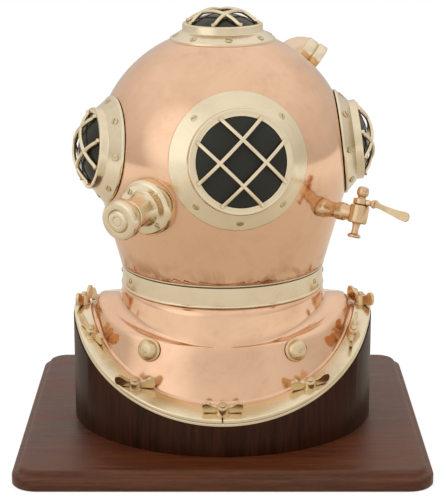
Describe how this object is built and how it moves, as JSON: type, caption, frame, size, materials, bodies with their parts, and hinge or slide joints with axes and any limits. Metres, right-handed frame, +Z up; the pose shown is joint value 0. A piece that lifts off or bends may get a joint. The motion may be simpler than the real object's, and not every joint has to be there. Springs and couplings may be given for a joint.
{
  "type": "diving helmet",
  "caption": "Copper and brass standard-dress diving helmet with guarded windows, exhaust valve, spitcock, air elbow and clamped corselet, on an oval wooden stand",
  "frame": {"origin": "middle of the plinth's underside, which rests on the table", "axes": "X to the viewer's right when facing the front window, Y from the front to the back, Z up along the bonnet's axis"},
  "size_m": [0.4406, 0.402, 0.4739],
  "materials": {
    "copper": "polished copper sheet",
    "brass": "polished cast brass",
    "glass": "thick dark port glass",
    "leather": "oiled leather washer",
    "dark_wood": "dark stained and varnished",
    "plinth_wood": "varnished mahogany"
  },
  "bodies": {
    "stand": {"plinth": "plinth_wood", "stand_drum": "dark_wood"},
    "corselet": {"corselet_shell": "copper", "corselet_rim": "copper", "front_left_brail": "brass", "front_right_brail": "brass", "rear_left_brail": "brass", "rear_right_brail": "brass", "wing_nuts": "brass", "corselet_neck_ring": "brass", "neck_gasket": "leather", "harness_buttons": "brass", "catch_bracket": "brass"},
    "bonnet": {"bonnet_shell": "copper", "bonnet_neck_ring": "brass", "front_window_frame": "brass", "front_window_glass": "glass", "front_window_guard": "brass", "left_window_frame": "brass", "left_window_glass": "glass", "left_window_guard": "brass", "right_window_frame": "brass", "right_window_glass": "glass", "right_window_guard": "brass", "top_window_frame": "brass", "top_window_glass": "glass", "top_window_guard": "brass", "exhaust_valve_base": "brass", "spitcock_body": "brass", "air_elbow": "copper", "air_union": "brass", "catch_keeper": "brass"},
    "exhaust_spindle": {"exhaust_spindle": "brass"},
    "exhaust_wheel": {"exhaust_wheel": "brass"},
    "spitcock_handle": {"spitcock_plug": "brass", "spitcock_lever": "brass"},
    "safety_catch": {"safety_catch": "brass"}
  },
  "joints": [
    {"name": "helmet_lift", "type": "slide", "parent": "stand", "child": "corselet", "axis": [0, 0, 1], "range_m": [0, 0.25]},
    {"name": "bonnet_turn", "type": "hinge", "parent": "corselet", "child": "bonnet", "pos_m": [0, 0, 0.1937], "axis": [0, 0, 1], "range_deg": [0, 45]},
    {"name": "exhaust_spindle_travel", "type": "slide", "parent": "bonnet", "child": "exhaust_spindle", "axis": [-0.5453, -0.8333, -0.0906], "range_m": [-0.0044, 0.0014]},
    {"name": "exhaust_wheel_turn", "type": "hinge", "parent": "exhaust_spindle", "child": "exhaust_wheel", "pos_m": [-0.10306, -0.1575, 0.27867], "axis": [-0.5453, -0.8333, -0.0906], "range_deg": [-1080, 360]},
    {"name": "spitcock_turn", "type": "hinge", "parent": "bonnet", "child": "spitcock_handle", "pos_m": [0.141, -0.11665, 0.2747], "axis": [0.2023, 0.2445, 0.9483], "range_deg": [0, 90]},
    {"name": "safety_catch_swing", "type": "hinge", "parent": "corselet", "child": "safety_catch", "pos_m": [0, 0.1225, 0.1805], "axis": [0, 1, 0], "range_deg": [0, 180]}
  ],
  "couplings": [
    {"joint": "exhaust_wheel_turn", "follows": "exhaust_spindle_travel", "rad_per_m": 4188.8}
  ]
}
